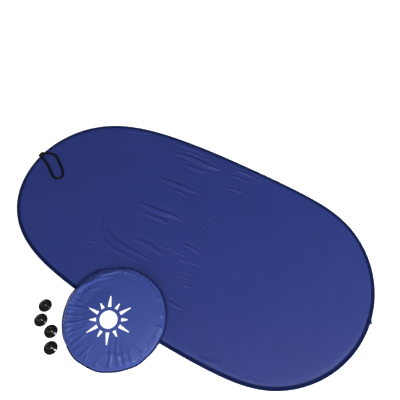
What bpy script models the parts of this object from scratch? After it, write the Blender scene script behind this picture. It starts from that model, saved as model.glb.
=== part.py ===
"""Twist-fold sunshade: an oval reversible panel on a sprung wire hoop, with its keeper
loop, its round pouch and four suction cups.

Metres, +Z up, everything as it lies on a floor at Z = 0. The panel's long axis is along X
with its loop end at -X and its blue face up. The origin is under the middle of the kit.
The hoop is split at two fold lines, where the ends turn up and over the middle.
"""

import math

import bmesh
import bpy
from mathutils import Vector

# The panel
LENGTH = 1.0
WIDTH = 0.548
LOOP_END_SQUARENESS = 0.42  # of the outline's end at -X: smaller is squarer
PLAIN_END_SQUARENESS = 0.23  # of its end at +X
TAPER = 0.016  # how much wider than the middle the +X end would be, as a share
PANEL_X, PANEL_Y = 0.0021, 0.07415  # the panel's middle, from the kit's

# The folds across the panel, as rigid stand-ins for the hoop's twist
FOLD_X = 0.29  # from the panel's middle to each fold line
FOLD_GAP = 0.001  # between the pieces that a fold line parts
FOLD_AXIS_Z = 0.007  # just above the binding, so that an end can lie over the middle

# The binding tape round the hoop, seen in section: across from the panel's edge, then up
TAPE_WIDTH = 0.009
TAPE_HEIGHT = 0.0056
TAPE_WALL = 0.0007
TAPE_CORNER = 0.0015  # the round of its outer fold
SLIT_LOW, SLIT_HIGH = 0.0018, 0.0038  # where the two cloths leave the tape
CLOTH_INSET = 0.0049  # from the panel's edge to the cloths' own edge inside the tape
CLOTH = 0.0005  # thickness
BACKING_Z, FACE_Z = 0.00215, 0.00295  # undersides of the silver and the blue cloth

# The binding's own end, folded over the tape where the round is closed
TAB_LIFT = 0.0004  # clear of the tape below it
TAB_WALL = 0.0006
TAB_OUT = 0.0011  # past the panel's edge
TAB_BEVEL = 0.0010
TAB_FOOT = 0.0006  # above the floor
TAB_HALF_TURN = 0.020  # of the outline, to each side of its middle

# The hoop
WIRE_RADIUS = 0.001
WIRE_INSET = 0.0028
WIRE_Z = TAPE_HEIGHT / 2
FERRULE_BORE, FERRULE_RADIUS, FERRULE_LENGTH = 0.0014, 0.0018, 0.013
JOINT_Y = 0.017  # from the long axis to the wire's joint and the tape's end
FERRULE_STEPS = 12

# The keeper loop and the tack that sews it to the edge
TACK_RADIUS, TACK_LENGTH = 0.0026, 0.016
TACK_X, TACK_Y, TACK_Z = -0.5027, 0.012, 0.0031  # the loop swings about this line along Y
STRAP_WIDTH, STRAP_THICKNESS = 0.0070, 0.0013
STRAP_ROUTE = [
    (-0.5027, 0.0158, 0.0066),
    (-0.4985, 0.0175, 0.0067),
    (-0.4915, 0.0215, 0.0062),
    (-0.4810, 0.0265, 0.0056),
    (-0.4690, 0.0298, 0.0054),
    (-0.4565, 0.0270, 0.0054),
    (-0.4391, 0.0171, 0.0054),
    (-0.4212, 0.0060, 0.0054),
    (-0.4055, -0.0070, 0.0054),
    (-0.3978, -0.0180, 0.0054),
    (-0.3985, -0.0270, 0.0054),
    (-0.4070, -0.0330, 0.0054),
    (-0.4195, -0.0316, 0.0054),
    (-0.4358, -0.0224, 0.0054),
    (-0.4576, -0.0093, 0.0054),
    (-0.4759, -0.0010, 0.0055),
    (-0.4915, 0.0040, 0.0062),
    (-0.4985, 0.0068, 0.0067),
    (-0.5027, 0.0082, 0.0066),
]
STRAP_STEPS = 2  # points on each span of the route

# The pouch, which lies half on the panel's edge
POUCH_RADIUS = 0.126
POUCH_X, POUCH_Y = -0.029, -0.2765  # from the panel's middle
POUCH_Z = 0.0055  # under its middle
POUCH_TILT = math.radians(2.5)  # its free side reaches the floor
POUCH_WALL = 0.0008
POUCH_BACK_Z = 0.0004
PIPING_RADIUS = 0.0016
POUCH_CLOTH_RADIUS = POUCH_RADIUS - 2 * PIPING_RADIUS - 0.0004
POUCH_CROWN = [  # the front's height over the back, from the middle to the rim
    (0.0, 0.0180),
    (0.40, 0.0174),
    (0.73, 0.0153),
    (0.90, 0.0121),
    (0.98, 0.0078),
    (1.0, 0.0015),
]
MOUTH_HALF_ANGLE = math.radians(64)  # to each side of the pouch's -X direction
MOUTH_LOW, MOUTH_HIGH = 0.0005, 0.0080
POUCH_STEPS = 48
SEAM_STEPS = 36  # along the piping

# The suction cups
CUP_RADIUS = 0.016
CUP_STEPS = 20
CUP_PROFILE = [  # from the top of the button down to the rim, then up inside
    (0.0, 0.0150),
    (0.0045, 0.0150),
    (0.0062, 0.0136),
    (0.0058, 0.0116),
    (0.0044, 0.0105),
    (0.0046, 0.0085),
    (0.0095, 0.0054),
    (0.0140, 0.0021),
    (CUP_RADIUS, 0.0007),
    (CUP_RADIUS, 0.0),
    (0.0148, 0.0),
    (0.0080, 0.0029),
    (0.0, 0.0038),
]
CUP_PLACES = [(-0.1924, -0.3352), (-0.1783, -0.3679), (-0.1403, -0.3769), (-0.1160, -0.4065)]

GAP = 0.0003  # between pieces that touch
OUTLINE_SAMPLES = 2000
HALVINGS = 50  # when a turn is searched for
RIM_POINTS = {"front": 16, "rear": 16, "left": 34, "right": 34}  # along each part's edge
JOINED_WIRE_POINTS = (20, 18)  # along the +X end's wire, before its joint and after


# ---------------------------------------------------------------- scene and materials
def start():
    """An empty scene with a collection for the kit and one for its guides and cutters."""
    for old in list(bpy.data.objects):
        bpy.data.objects.remove(old, do_unlink=True)
    kit = bpy.data.collections.new("sunshade_kit")
    guides = bpy.data.collections.new("guides")
    for collection in (kit, guides):
        bpy.context.scene.collection.children.link(collection)
    return kit, guides


def material(name, colour, roughness, metallic=0.0):
    """A Principled material."""
    made = bpy.data.materials.new(name)
    made.use_nodes = True
    shader = made.node_tree.nodes["Principled BSDF"]
    shader.inputs["Base Color"].default_value = (*colour, 1.0)
    shader.inputs["Roughness"].default_value = roughness
    shader.inputs["Metallic"].default_value = metallic
    return made


def hang(made, holder):
    """Hang an object on an empty, if there is one, in the place where it is."""
    if holder:
        bpy.context.view_layer.update()
        made.parent = holder
        made.matrix_parent_inverse = holder.matrix_world.inverted()


def add(name, data, look, collection, holder=None):
    """A named object, hung on the empty called holder."""
    made = bpy.data.objects.new(name, data)
    collection.objects.link(made)
    if look:
        data.materials.append(look)
    hang(made, holder)
    return made


def pivot(name, place, collection):
    """An empty on a joint's axis."""
    made = bpy.data.objects.new(name, None)
    made.location = place
    made.empty_display_size = 0.02
    collection.objects.link(made)
    bpy.context.view_layer.update()
    return made


def guide(made):
    """Mark an object as a section or a cutter, which isn't part of the kit."""
    made.hide_render = True
    made.display_type = "WIRE"
    return made


# ---------------------------------------------------------------- the panel's outline
def edge_point(turn):
    """The panel's outer edge about its own middle, with turn running once round."""
    half_width = WIDTH / 2
    straight = LENGTH / 2 - half_width
    across = math.cos(turn)
    k = PLAIN_END_SQUARENESS if across > 0 else LOOP_END_SQUARENESS
    x = half_width * across + straight * math.tanh(across / k) / math.tanh(1 / k)
    y = half_width * math.sin(turn) * (1 + TAPER * x / (LENGTH / 2))
    return Vector((x, y))


def inset_point(turn, inset):
    """The outline moved in by inset, square to the edge."""
    step = 1e-4
    along = edge_point(turn + step) - edge_point(turn - step)
    along.normalize()
    return edge_point(turn) + inset * Vector((-along.y, along.x))


def turn_where(x, inset):
    """The turn between 0 and pi at which the inset outline passes x."""
    low, high = 0.0, math.pi
    for _ in range(HALVINGS):
        middle = (low + high) / 2
        if inset_point(middle, inset).x > x:
            low = middle
        else:
            high = middle
    return low


def rim(inset, first, last, count, z):
    """Points evenly spaced along the inset outline from one turn to another, in the kit."""
    turns = [first + (last - first) * i / OUTLINE_SAMPLES for i in range(OUTLINE_SAMPLES + 1)]
    fine = [inset_point(turn, inset) for turn in turns]
    run = [0.0]
    for a, b in zip(fine, fine[1:]):
        run.append(run[-1] + (b - a).length)
    points, at = [], 0
    for i in range(count):
        goal = run[-1] * i / (count - 1)
        while at < OUTLINE_SAMPLES - 1 and run[at + 1] < goal:
            at += 1
        share = (goal - run[at]) / (run[at + 1] - run[at])
        spot = fine[at].lerp(fine[at + 1], share)
        points.append(Vector((PANEL_X + spot.x, PANEL_Y + spot.y, z)))
    return points


def stretch(part, inset):
    """The first and last turn of the part of the outline that a piece follows."""
    inner, outer = FOLD_X - FOLD_GAP / 2, FOLD_X + FOLD_GAP / 2
    right, left = turn_where(inner, inset), turn_where(-inner, inset)
    if part == "rear":
        return right, left
    if part == "front":
        return 2 * math.pi - left, 2 * math.pi - right
    if part == "right":
        end = turn_where(outer, inset)
        return -end, end
    end = turn_where(-outer, inset)
    return end, 2 * math.pi - end


# ---------------------------------------------------------------- shapes
def polyline(name, points, dimensions="3D", closed=False):
    """A curve of straight runs through the points."""
    data = bpy.data.curves.new(name, "CURVE")
    data.dimensions = dimensions
    spline = data.splines.new("POLY")
    spline.points.add(len(points) - 1)
    for slot, point in zip(spline.points, points):
        slot.co = (point[0], point[1], point[2] if len(point) > 2 else 0.0, 1.0)
    spline.use_cyclic_u = closed
    return data


def plate(name, outline, underside, thickness):
    """A flat closed outline made thick upwards from its underside."""
    data = polyline(name, [(p[0], p[1], 0.0) for p in outline], "2D", closed=True)
    data.fill_mode = "BOTH"
    data.extrude = thickness / 2
    return data, underside + thickness / 2


def rod(name, points, radius):
    """A round wire through the points."""
    data = polyline(name, points)
    data.bevel_depth = radius
    data.bevel_resolution = 2
    data.use_fill_caps = True
    return data


def swept(name, points, section):
    """A section, listed clockwise, carried along the points: its -X to their left, its Y up."""
    data = polyline(name, points)
    data.twist_mode = "Z_UP"
    data.bevel_mode = "OBJECT"
    data.bevel_object = section
    data.use_fill_caps = True
    return data


def profile(name, points):
    """An open edge chain in the XZ plane, for a Screw modifier."""
    data = bpy.data.meshes.new(name)
    data.from_pydata([(r, 0.0, z) for r, z in points], [(i, i + 1) for i in range(len(points) - 1)], [])
    return data


def turn_about_z(made, steps):
    """Turn an object's profile about its Z axis into a closed skin."""
    screw = made.modifiers.new("turn", "SCREW")
    screw.axis = "Z"
    screw.steps = screw.render_steps = steps
    screw.use_merge_vertices = True
    screw.merge_threshold = 0.00002
    screw.use_smooth_shade = True


def block(name, size, place, bevel=0.0):
    """A box with rounded edges."""
    data = bpy.data.meshes.new(name)
    mesh = bmesh.new()
    bmesh.ops.create_cube(mesh, size=1.0)
    bmesh.ops.scale(mesh, vec=size, verts=mesh.verts)
    bmesh.ops.translate(mesh, vec=place, verts=mesh.verts)
    if bevel:
        bmesh.ops.bevel(mesh, geom=mesh.edges[:], offset=bevel, segments=2, profile=0.5, affect="EDGES")
    mesh.to_mesh(data)
    mesh.free()
    return data


# ---------------------------------------------------------------- the panel's pieces
def tape_section(collection):
    """The binding tape folded round the wire and the cloths' edges, as a C on its side."""
    h, w, t, c = TAPE_HEIGHT, TAPE_WIDTH, TAPE_WALL, TAPE_CORNER
    lip = SLIT_LOW - t
    outside = [(w, h - lip), (w / 2, h), (c, h), (0.4 * c, h - 0.2 * c), (0, h - 0.8 * c)]
    outside += [(x, h - z) for x, z in reversed(outside)]
    inside = [(w, SLIT_LOW), (w / 2, t), (1.2 * t, t), (t, 1.7 * t)]
    inside += [(x, h - z) for x, z in reversed(inside)]
    data = polyline("tape_section", [(-x, z) for x, z in outside + inside], "2D", closed=True)
    return guide(add("tape_section", data, None, collection))


def wire(name, points, looks, kit, holder):
    """A stretch of the hoop's wire."""
    add(name, rod(name, points, WIRE_RADIUS), looks["steel"], kit, holder)


def cloth(name, outline, underside, look, kit, holder):
    """A flat sheet of cloth."""
    data, height = plate(name, outline, underside, CLOTH)
    made = add(name, data, look, kit)
    made.location.z = height
    hang(made, holder)


def panel(looks, kit, guides, holders):
    """The two cloths, the hoop wire and the binding of the middle and of each end."""
    section = tape_section(guides)
    for name, parts in (("centre", ["front", "rear"]), ("left", ["left"]), ("right", ["right"])):
        holder = holders[name]
        outline = []
        for part in parts:
            outline += rim(CLOTH_INSET, *stretch(part, CLOTH_INSET), 2 * RIM_POINTS[part], 0.0)
            path = rim(0.0, *stretch(part, 0.0), RIM_POINTS[part], 0.0)
            add(f"binding_{part}", swept(f"binding_{part}", path, section), looks["navy"], kit, holder)
        cloth(f"face_cloth_{name}", outline, FACE_Z, looks["blue"], kit, holder)
        cloth(f"backing_{name}", outline, BACKING_Z, looks["silver"], kit, holder)
    for part, holder in (("front", None), ("rear", None), ("left", holders["left"])):
        points = rim(WIRE_INSET, *stretch(part, WIRE_INSET), RIM_POINTS[part], WIRE_Z)
        wire(f"hoop_wire_{part}", points, looks, kit, holder)


def wire_joint(looks, kit, holder):
    """The wire of the +X end, whose two ends meet in a crimped sleeve."""
    first, last = stretch("right", WIRE_INSET)
    meet = turn_near_end(JOINT_Y)
    step = GAP / (WIDTH / 2)
    before, after = JOINED_WIRE_POINTS
    wire("hoop_wire_right_front", rim(WIRE_INSET, first, meet - step, before, WIRE_Z), looks, kit, holder)
    wire("hoop_wire_right_rear", rim(WIRE_INSET, meet + step, last, after, WIRE_Z), looks, kit, holder)


def turn_near_end(y):
    """The small turn at which the +X end of the outline passes y."""
    low, high = -0.5, 0.5
    for _ in range(HALVINGS):
        middle = (low + high) / 2
        if edge_point(middle).y < y:
            low = middle
        else:
            high = middle
    return low


def ferrule(looks, kit, holder):
    """The crimped steel sleeve over the wire's joint."""
    half, bore, outer = FERRULE_LENGTH / 2, FERRULE_BORE, FERRULE_RADIUS
    sleeve = [(bore, half), (outer, half), (outer, -half), (bore, -half), (bore, half)]
    made = add("hoop_ferrule", profile("hoop_ferrule", sleeve), looks["steel"], kit)
    turn_about_z(made, FERRULE_STEPS)
    meet = turn_near_end(JOINT_Y)
    spot = inset_point(meet, WIRE_INSET)
    along = edge_point(meet + 0.01) - edge_point(meet - 0.01)
    made.location = (PANEL_X + spot.x, PANEL_Y + spot.y, WIRE_Z)
    made.rotation_euler = (math.pi / 2, 0.0, math.atan2(along.y, along.x) + math.pi / 2)
    hang(made, holder)


# ---------------------------------------------------------------- the small parts
def tape_end(looks, kit, guides, holder):
    """The binding's own end, folded over the tape where the round is closed."""
    under = TAPE_HEIGHT + TAB_LIFT
    top = under + TAB_WALL
    lip = SLIT_LOW - TAPE_WALL
    fold = [(GAP, under), (-TAPE_WIDTH / 2, under), (-TAPE_WIDTH, under - lip), (-TAPE_WIDTH, top - lip)]
    fold += [(-TAPE_WIDTH / 2, top), (TAB_OUT / 2, top), (TAB_OUT, top - TAB_BEVEL)]
    fold += [(TAB_OUT, TAB_FOOT), (GAP, TAB_FOOT)]
    section = guide(add("tape_end_section", polyline("tape_end_section", fold, "2D", True), None, guides))
    meet = turn_near_end(JOINT_Y)
    path = rim(0.0, meet - TAB_HALF_TURN, meet + TAB_HALF_TURN, 3, 0.0)
    add("binding_end_tab", swept("binding_end_tab", path, section), looks["navy"], kit, holder)


def in_kit(point):
    """A point given from the panel's middle."""
    return Vector((PANEL_X + point[0], PANEL_Y + point[1], point[2]))


def smooth(points, steps):
    """A Catmull-Rom curve through the points, with this many steps on each span."""
    ends = [2 * points[0] - points[1], *points, 2 * points[-1] - points[-2]]
    curve = []
    for a, b, c, d in zip(ends, ends[1:], ends[2:], ends[3:]):
        for i in range(steps):
            u = i / steps
            bend, twist = 2 * a - 5 * b + 4 * c - d, 3 * b - a - 3 * c + d
            curve.append((2 * b + (c - a) * u + bend * u**2 + twist * u**3) / 2)
    return [*curve, points[-1]]


def keeper_loop(looks, kit, guides, left, pivot_on_edge):
    """The elastic loop that holds the folded panel, and the bar tack that sews it on."""
    half = Vector((0.0, TACK_LENGTH / 2, 0.0))
    middle = in_kit((TACK_X, TACK_Y, TACK_Z))
    tack = rod("loop_tack", [middle - half, middle + half], TACK_RADIUS)
    add("loop_tack", tack, looks["black"], kit, left)
    w, t = STRAP_WIDTH / 2, STRAP_THICKNESS / 2
    band = [(w, t / 2), (w, -t / 2), (0.8 * w, -t), (-0.8 * w, -t), (-w, -t / 2), (-w, t / 2)]
    band += [(-0.8 * w, t), (0.8 * w, t)]
    section = guide(add("strap_section", polyline("strap_section", band, "2D", True), None, guides))
    route = smooth([in_kit(point) for point in STRAP_ROUTE], STRAP_STEPS)
    add("keeper_loop", swept("keeper_loop", route, section), looks["black"], kit, pivot_on_edge)


def pouch(looks, kit, guides):
    """The round pouch: a crowned front and a flat back sewn round the rim but for its mouth."""
    seat = pivot("pouch_seat", in_kit((POUCH_X, POUCH_Y, POUCH_Z)), kit)
    seat.rotation_euler = (POUCH_TILT, 0.0, 0.0)
    bpy.context.view_layer.update()

    outline = [(share * POUCH_CLOTH_RADIUS, z) for share, z in POUCH_CROWN]
    front = add("pouch_front", profile("pouch_front", outline), looks["pouch"], kit)
    turn_about_z(front, POUCH_STEPS)
    wall = front.modifiers.new("wall", "SOLIDIFY")
    wall.thickness = POUCH_WALL
    wall.offset = -1.0
    reach = 2 * POUCH_RADIUS
    inner = -POUCH_CLOTH_RADIUS * math.cos(MOUTH_HALF_ANGLE)
    size = (reach, reach, MOUTH_HIGH - MOUTH_LOW)
    knife_data = block("mouth_cutter", size, (inner - reach / 2, 0.0, (MOUTH_HIGH + MOUTH_LOW) / 2))
    knife = guide(add("mouth_cutter", knife_data, None, guides))
    cut = front.modifiers.new("mouth", "BOOLEAN")
    cut.operation = "DIFFERENCE"
    cut.object = knife

    base = [(0.0, POUCH_BACK_Z + POUCH_WALL), (POUCH_CLOTH_RADIUS, POUCH_BACK_Z + POUCH_WALL)]
    base += [(POUCH_CLOTH_RADIUS, POUCH_BACK_Z), (0.0, POUCH_BACK_Z)]
    back = add("pouch_back", profile("pouch_back", base), looks["pouch"], kit)
    turn_about_z(back, POUCH_STEPS)

    sewn = math.pi - MOUTH_HALF_ANGLE
    radius = POUCH_RADIUS - PIPING_RADIUS
    turns = [-sewn + 2 * sewn * i / SEAM_STEPS for i in range(SEAM_STEPS + 1)]
    ring = [(radius * math.cos(a), radius * math.sin(a), POUCH_BACK_Z + PIPING_RADIUS) for a in turns]
    piping = add("pouch_piping", rod("pouch_piping", ring, PIPING_RADIUS), looks["navy"], kit)
    for made in (front, back, piping, knife):
        made.parent = seat


def suction_cups(looks, kit):
    """Four cups standing on their rims, each with its neck and button."""
    shared = profile("suction_cup", CUP_PROFILE)
    for number, place in enumerate(CUP_PLACES, start=1):
        cup = add(f"suction_cup_{number}", shared, None if shared.materials else looks["cup"], kit)
        turn_about_z(cup, CUP_STEPS)
        cup.location = in_kit((*place, 0.0))


def build():
    """The whole kit."""
    kit, guides = start()
    looks = {
        "blue": material("blue_cloth", (0.035, 0.05, 0.24), 0.45),
        "silver": material("silver_cloth", (0.62, 0.65, 0.66), 0.4, 0.5),
        "navy": material("navy_tape", (0.015, 0.015, 0.10), 0.7),
        "steel": material("spring_steel", (0.5, 0.5, 0.5), 0.35, 1.0),
        "black": material("black_elastic", (0.01, 0.01, 0.01), 0.8),
        "pouch": material("pouch_cloth", (0.05, 0.075, 0.33), 0.42),
        "cup": material("black_vinyl", (0.005, 0.005, 0.006), 0.12),
    }
    left = pivot("left_fold_axis", in_kit((-FOLD_X, 0.0, FOLD_AXIS_Z)), kit)
    right = pivot("right_fold_axis", in_kit((FOLD_X, 0.0, FOLD_AXIS_Z)), kit)
    edge = pivot("keeper_loop_axis", in_kit((TACK_X, TACK_Y, TACK_Z)), kit)
    edge.parent = left
    edge.matrix_parent_inverse = left.matrix_world.inverted()
    bpy.context.view_layer.update()
    panel(looks, kit, guides, {"centre": None, "left": left, "right": right})
    wire_joint(looks, kit, right)
    ferrule(looks, kit, right)
    tape_end(looks, kit, guides, right)
    keeper_loop(looks, kit, guides, left, edge)
    pouch(looks, kit, guides)
    suction_cups(looks, kit)


build()
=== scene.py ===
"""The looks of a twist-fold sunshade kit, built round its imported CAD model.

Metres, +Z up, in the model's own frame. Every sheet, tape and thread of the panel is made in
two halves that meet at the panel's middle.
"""

import math

import bmesh
import bpy
import numpy as np
from mathutils import Matrix, Vector, kdtree
from mathutils.geometry import delaunay_2d_cdt

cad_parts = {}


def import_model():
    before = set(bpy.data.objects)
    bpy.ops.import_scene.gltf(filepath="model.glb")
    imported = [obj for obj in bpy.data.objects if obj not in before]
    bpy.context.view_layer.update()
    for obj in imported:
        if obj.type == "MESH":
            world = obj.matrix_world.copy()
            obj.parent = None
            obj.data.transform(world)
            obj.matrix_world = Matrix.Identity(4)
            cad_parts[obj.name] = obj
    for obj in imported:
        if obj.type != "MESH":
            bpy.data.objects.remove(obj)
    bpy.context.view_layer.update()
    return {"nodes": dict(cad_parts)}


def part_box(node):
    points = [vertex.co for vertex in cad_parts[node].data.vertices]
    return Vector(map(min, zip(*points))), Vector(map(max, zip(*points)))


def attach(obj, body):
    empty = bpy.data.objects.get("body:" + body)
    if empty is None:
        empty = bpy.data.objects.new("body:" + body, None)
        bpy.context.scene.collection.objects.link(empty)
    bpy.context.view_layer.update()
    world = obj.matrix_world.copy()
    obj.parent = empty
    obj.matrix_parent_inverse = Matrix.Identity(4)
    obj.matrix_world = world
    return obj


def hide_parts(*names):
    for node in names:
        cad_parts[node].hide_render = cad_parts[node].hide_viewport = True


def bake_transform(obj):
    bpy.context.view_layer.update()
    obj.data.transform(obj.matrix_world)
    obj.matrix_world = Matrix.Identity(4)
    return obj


# The camera
AZIMUTH, ELEVATION = math.radians(30.05), math.radians(58)
DISTANCE = 1.2436
LOOK_AT = Vector((-0.0179, 0.1852, 0.0))
LENS, SENSOR = 40.5, 36.0
LIT_POINT = Vector((0.0, 0.05, 0.0))  # what the soft boxes face

# The panel's outline, as in the CAD source
LENGTH, WIDTH = 1.0, 0.548
LOOP_END_SQUARENESS, PLAIN_END_SQUARENESS, TAPER = 0.42, 0.23, 0.016
PANEL_X, PANEL_Y = 0.0021, 0.07415
FOLD_X, FOLD_AXIS_Z = 0.29, 0.007
BEND_BEFORE, BEND_PAST = 0.001, 0.016  # where a fold's bend starts and ends, from its line

# The binding, in section: (in from the edge, up from the wire's middle), from the edge inwards
TAPE_MIDDLE = 0.0028
TAPE_OUTER = [
    (0.0, 0.0), (0.0002, 0.001), (0.0009, 0.002), (0.002, 0.0027), (0.0032, 0.0028), (0.0044, 0.0024),
    (0.0054, 0.0018), (0.0063, 0.00145), (0.0072, 0.0013), (0.0081, 0.00145), (0.0088, 0.0015),
    (0.0091, 0.0013),
]
TAPE_INNER = [
    (0.0005, 0.0), (0.0008, 0.001), (0.0018, 0.0021), (0.0032, 0.0023), (0.0043, 0.0019),
    (0.0054, 0.0013), (0.0063, 0.001), (0.0072, 0.00085), (0.0089, 0.00095),
]
STITCH_INSET, STITCH_PITCH, STITCH_LENGTH, THREAD = 0.0072, 0.0040, 0.0028, 0.00026
WIRE_INSET, WIRE_SIDES = 0.0028, 10
TAB_Y, TAB_HALF_TURN, TAB_LIFT, TAB_WALL = 0.017, 0.020, 0.0004, 0.0006

# The cloths
CLOTH_INSET = 0.0054
FACE_TOP, BACKING_BOTTOM, CLOTH = 0.00340, 0.00215, 0.00028
FINE, MEDIUM, COARSE = 0.0027, 0.0048, 0.0058  # spacing of the cloth's points
LOFT = 0.0007  # of a cloth over its plain course
FLOOR_GAP = 0.0002
BEND_STEP = 0.0009  # along the edge, in a fold's bend
BEND_COLUMN, BEND_ROW = 0.0013, 0.0042  # of the points in a bend, along the panel and across it
FINE_FROM, FINE_TO = -0.35, 0.14  # along the panel, where the creases are

# Raised folds of the blue cloth: (half width, height, points from the panel's middle)
CREASES = [
    (0.006, 0.0034, [(-0.168, 0.113), (-0.12, 0.119), (-0.077, 0.12), (-0.026, 0.127)]),
    (0.005, 0.0016, [(-0.105, 0.103), (-0.075, 0.104), (-0.045, 0.096)]),
    (0.0065, 0.003, [(-0.163, 0.016), (-0.11, 0.02), (-0.07, 0.026), (-0.022, 0.028)]),
    (0.006, 0.0014, [(-0.15, -0.004), (-0.095, 0.0), (-0.045, 0.004)]),
    (0.0065, 0.0034, [(-0.172, 0.212), (-0.114, 0.219), (-0.06, 0.221), (-0.012, 0.226)]),
    (0.004, 0.0026, [(-0.182, 0.246), (-0.13, 0.249), (-0.076, 0.251)]),
    (0.0035, 0.0018, [(-0.15, 0.236), (-0.105, 0.238), (-0.062, 0.239)]),
    (0.0055, 0.0015, [(-0.13, 0.19), (-0.085, 0.192), (-0.04, 0.2)]),
    (0.0028, 0.002, [(-0.345, 0.204), (-0.3, 0.226), (-0.252, 0.243)]),
    (0.003, 0.0013, [(0.012, 0.178), (0.048, 0.185), (0.088, 0.191)]),
    (0.004, 0.002, [(0.006, 0.246), (0.05, 0.25), (0.1, 0.251)]),
    (0.004, 0.0014, [(0.01, 0.224), (0.045, 0.228), (0.08, 0.229)]),
    (0.0028, 0.0012, [(-0.002, 0.045), (0.022, 0.043), (0.046, 0.041)]),
    (0.003, 0.001, [(0.016, 0.072), (0.045, 0.068), (0.075, 0.064)]),
    (0.0034, 0.0012, [(0.004, -0.028), (0.035, -0.03), (0.068, -0.033)]),
    (0.0034, 0.0011, [(0.008, -0.066), (0.034, -0.07), (0.06, -0.075)]),
    (0.0055, 0.0026, [(-0.225, -0.062), (-0.193, -0.092), (-0.141, -0.109), (-0.09, -0.113), (-0.03, -0.11)]),
    (0.006, 0.0018, [(-0.19, -0.118), (-0.134, -0.131), (-0.08, -0.13)]),
    (0.006, 0.0016, [(-0.12, -0.08), (-0.06, -0.078), (-0.01, -0.082)]),
    (0.004, 0.0014, [(0.046, -0.178), (0.072, -0.18), (0.1, -0.178)]),
    (0.0034, 0.0022, [(0.183, -0.25), (0.204, -0.253), (0.228, -0.254)]),
    (0.0034, 0.0016, [(0.206, -0.241), (0.228, -0.246), (0.252, -0.246)]),
    (0.0032, 0.0015, [(0.262, -0.249), (0.288, -0.25), (0.312, -0.243)]),
    (0.0032, 0.0013, [(0.3, -0.24), (0.322, -0.24), (0.346, -0.23)]),
]
# Dents of the silver cloth, which hangs a little towards the floor
BACKING_CREASES = [
    (0.009, 0.0013, [(-0.24, 0.13), (-0.12, 0.12), (0.02, 0.135)]),
    (0.008, 0.0012, [(-0.15, 0.04), (-0.04, 0.03), (0.12, 0.045)]),
    (0.0085, 0.0013, [(-0.05, -0.06), (0.08, -0.075), (0.19, -0.065)]),
    (0.0075, 0.0011, [(-0.22, -0.1), (-0.13, -0.12), (-0.02, -0.118)]),
    (0.008, 0.0012, [(0.09, 0.15), (0.18, 0.14), (0.29, 0.15)]),
    (0.007, 0.001, [(-0.08, 0.21), (0.01, 0.215), (0.11, 0.208)]),
    (0.007, 0.001, [(0.1, -0.17), (0.2, -0.16), (0.28, -0.175)]),
]

# Finer folds between those: (how many, seed, lowest and highest place of their middles, length,
# slope, half width and height)
FINE_FOLDS = (
    44, 5, (-0.21, -0.16), (0.10, 0.25), (0.024, 0.070), (0.00, 0.22), (0.0022, 0.0034), (0.0003, 0.0009)
)
BACKING_FOLDS = (
    95, 11, (-0.40, -0.20), (0.42, 0.24), (0.040, 0.150), (-0.35, 0.10), (0.0035, 0.0065), (0.0004, 0.0012)
)
FOLD_WIDTH_SCALE, FOLD_HEIGHT_SCALE = 0.80, 1.50  # of every fold in the panel's cloths

# The keeper loop and its tack, as in the CAD source
TACK_X, TACK_Y, TACK_Z, TACK_LENGTH = -0.5027, 0.012, 0.0031, 0.016
STRAP_WIDTH, STRAP_THICKNESS = 0.0070, 0.0013
STRAP_ROUTE = [
    (-0.5027, 0.0158, 0.0066), (-0.4985, 0.0175, 0.0067), (-0.4915, 0.0215, 0.0062),
    (-0.481, 0.0265, 0.0056), (-0.469, 0.0298, 0.0054), (-0.4565, 0.027, 0.0054),
    (-0.4391, 0.0171, 0.0054), (-0.4212, 0.006, 0.0054), (-0.4055, -0.007, 0.0054),
    (-0.3978, -0.018, 0.0054), (-0.3985, -0.027, 0.0054), (-0.407, -0.033, 0.0054),
    (-0.4195, -0.0316, 0.0054), (-0.4358, -0.0224, 0.0054), (-0.4576, -0.0093, 0.0054),
    (-0.4759, -0.001, 0.0055), (-0.4915, 0.004, 0.0062), (-0.4985, 0.0068, 0.0067),
    (-0.5027, 0.0082, 0.0066),
]
KNOT_PLACE, KNOT_Z, KNOT_LENGTH = (-0.4965, 0.0122), 0.0067, 0.0078
BRAID_RIB, BRAID_STEP = 0.00020, 0.0004

# The pouch, as in the CAD source
POUCH_RADIUS, POUCH_PIPING = 0.126, 0.0016
POUCH_CLOTH_RADIUS = POUCH_RADIUS - 2 * POUCH_PIPING - 0.0004
POUCH_PLACE, POUCH_Z, POUCH_TILT = (-0.029, -0.2765), 0.0055, math.radians(2.5)
POUCH_CROWN = [(0.0, 0.0180), (0.40, 0.0174), (0.73, 0.0153), (0.90, 0.0121), (0.98, 0.0078), (1.0, 0.0015)]
POUCH_BACK_Z = 0.0006
MOUTH_HALF_ANGLE = math.radians(64)
MOUTH_LIFT = 0.0050  # of the front's lip over the back's
POUCH_SPACING, BACK_SPACING, POUCH_REACH = 0.0023, 0.0042, 0.125
POUCH_SLACK = 0.012  # how much larger than its rim the front was cut
GATHER_FRAMES, WORK_SCALE = 16, 10.0  # the cloth is settled ten times life size
RIM_CORNERS = [-175, -128, -102, -73, -30, 15, 62, 105, 140]  # degrees, of the rim's slight corners
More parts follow.
